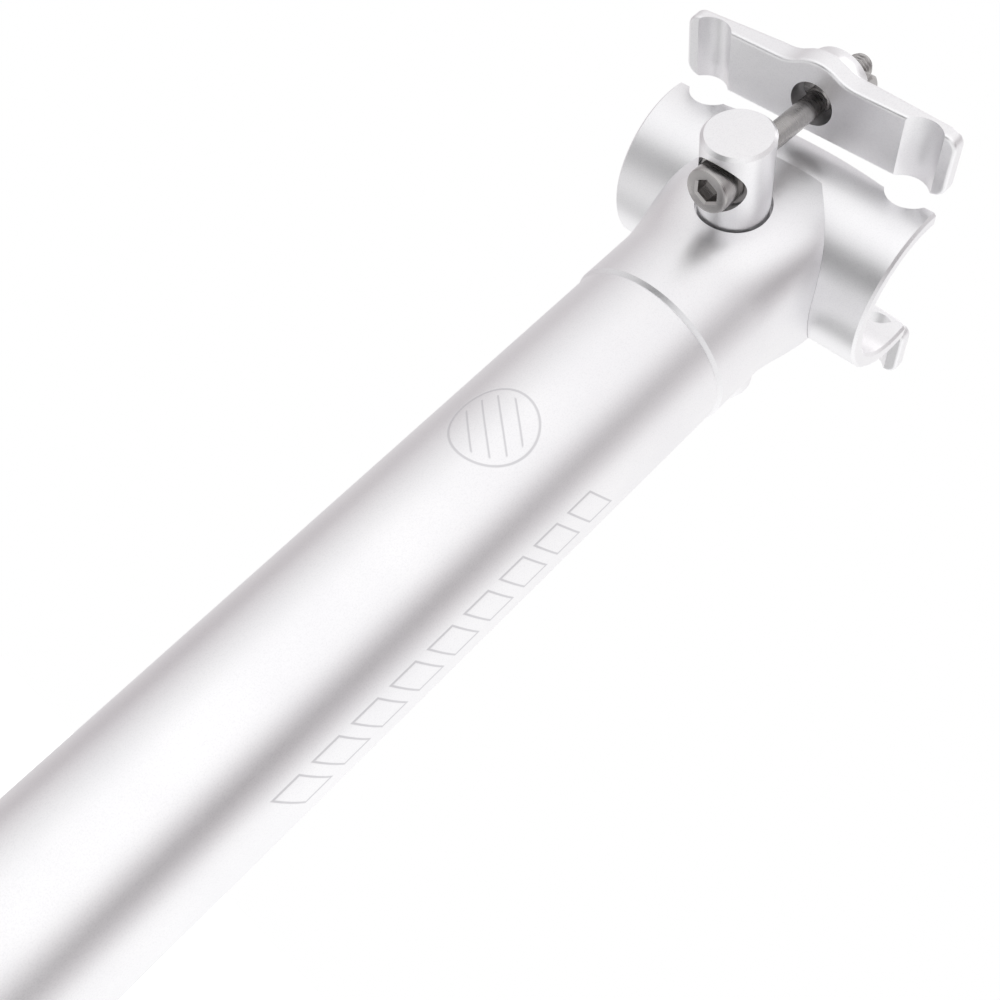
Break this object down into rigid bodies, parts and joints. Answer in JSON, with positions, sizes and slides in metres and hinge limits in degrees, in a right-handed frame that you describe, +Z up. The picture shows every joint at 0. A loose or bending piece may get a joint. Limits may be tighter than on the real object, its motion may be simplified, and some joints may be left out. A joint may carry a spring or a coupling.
{
  "type": "suspension seatpost",
  "caption": "Inverted telescopic bicycle seatpost in blasted silver aluminium, with a half-round saddle rail cradle, front and rear yokes and two upright clamp bolts.",
  "frame": {"origin": "on the post's axis, at the lower end of the tube that the frame clamps", "axes": "+Z up the post towards the saddle, +X across the bicycle, -Y towards the front"},
  "size_m": [0.0572, 0.067, 0.4166],
  "materials": {
    "blasted_aluminium": "bead-blasted, silver anodised, satin",
    "drawn_aluminium": "drawn and anodised, smooth",
    "turned_aluminium": "lathe-turned, silver anodised",
    "bolt_steel": "plain stainless steel",
    "spring_steel": "oiled spring wire",
    "seal_rubber": "matt black",
    "elastomer": "amber polyurethane",
    "bearing_plastic": "natural acetal",
    "key_brass": "machined brass"
  },
  "bodies": {
    "shaft": {"lower_tube": "drawn_aluminium", "lower_tube_cap": "drawn_aluminium", "upper_bush": "bearing_plastic", "anti_rotation_keys": "key_brass", "top_out_bumper": "elastomer", "bump_stop": "elastomer", "coil_spring": "spring_steel"},
    "spring_base": {"spring_seat": "bearing_plastic"},
    "preload": {"preload_plug": "turned_aluminium"},
    "head": {"upper_tube": "blasted_aluminium", "head_neck": "blasted_aluminium", "cross_pin": "blasted_aluminium", "washer_front": "bolt_steel", "washer_rear": "bolt_steel", "collar_nut": "turned_aluminium", "wiper_seal": "seal_rubber", "lower_bush": "bearing_plastic", "bulkhead": "drawn_aluminium", "retaining_ring": "bolt_steel", "push_rod": "drawn_aluminium", "push_rod_bolt": "bolt_steel", "spring_pusher": "bearing_plastic", "top_out_collar": "drawn_aluminium"},
    "saddle_cradle": {"cradle": "blasted_aluminium"},
    "front_bolt": {"bolt_front": "bolt_steel"},
    "rear_bolt": {"bolt_rear": "bolt_steel"},
    "front_nut": {"nut_front": "bolt_steel"},
    "rear_nut": {"nut_rear": "bolt_steel"},
    "front_yoke": {"yoke_front": "blasted_aluminium"},
    "rear_yoke": {"yoke_rear": "blasted_aluminium"}
  },
  "joints": [
    {"name": "suspension_travel", "type": "slide", "parent": "shaft", "child": "head", "axis": [0, 0, 1], "range_m": [-0.04, 0], "stiffness_N_per_m": 17000, "springref_m": 0.005, "deforming": ["coil_spring"]},
    {"name": "preload_travel", "type": "slide", "parent": "shaft", "child": "spring_base", "axis": [0, 0, 1], "range_m": [-0.00001, 0.00601], "deforming": ["coil_spring"]},
    {"name": "preload_turn", "type": "hinge", "parent": "spring_base", "child": "preload", "pos_m": [0, 0, 0.016], "axis": [0, 0, 1], "range_deg": [0, 1440]},
    {"name": "cradle_tilt", "type": "hinge", "parent": "head", "child": "saddle_cradle", "pos_m": [0, 0, 0.3963], "axis": [1, 0, 0], "range_deg": [-10, 10]},
    {"name": "front_bolt_turn", "type": "hinge", "parent": "head", "child": "front_bolt", "pos_m": [0, -0.0265, 0.371], "axis": [0, 0.0732, 0.9973], "range_deg": [-2161, 361]},
    {"name": "front_yoke_lift", "type": "slide", "parent": "head", "child": "front_nut", "axis": [0, 0.0732, 0.9973], "range_m": [-0.0008, 0.0048]},
    {"name": "front_yoke_rock", "type": "hinge", "parent": "front_nut", "child": "front_yoke", "pos_m": [0, -0.02375, 0.4085], "axis": [1, 0, 0], "range_deg": [-6, 6]},
    {"name": "rear_bolt_turn", "type": "hinge", "parent": "head", "child": "rear_bolt", "pos_m": [0, 0.0265, 0.371], "axis": [0, -0.0732, 0.9973], "range_deg": [-2161, 361]},
    {"name": "rear_yoke_lift", "type": "slide", "parent": "head", "child": "rear_nut", "axis": [0, -0.0732, 0.9973], "range_m": [-0.0008, 0.0048]},
    {"name": "rear_yoke_rock", "type": "hinge", "parent": "rear_nut", "child": "rear_yoke", "pos_m": [0, 0.02375, 0.4085], "axis": [1, 0, 0], "range_deg": [-6, 6]}
  ],
  "couplings": [
    {"joint": "preload_travel", "follows": "preload_turn", "m_per_rad": 0.00023873},
    {"joint": "front_bolt_turn", "follows": "front_yoke_lift", "rad_per_m": -7854},
    {"joint": "rear_bolt_turn", "follows": "rear_yoke_lift", "rad_per_m": -7854}
  ]
}
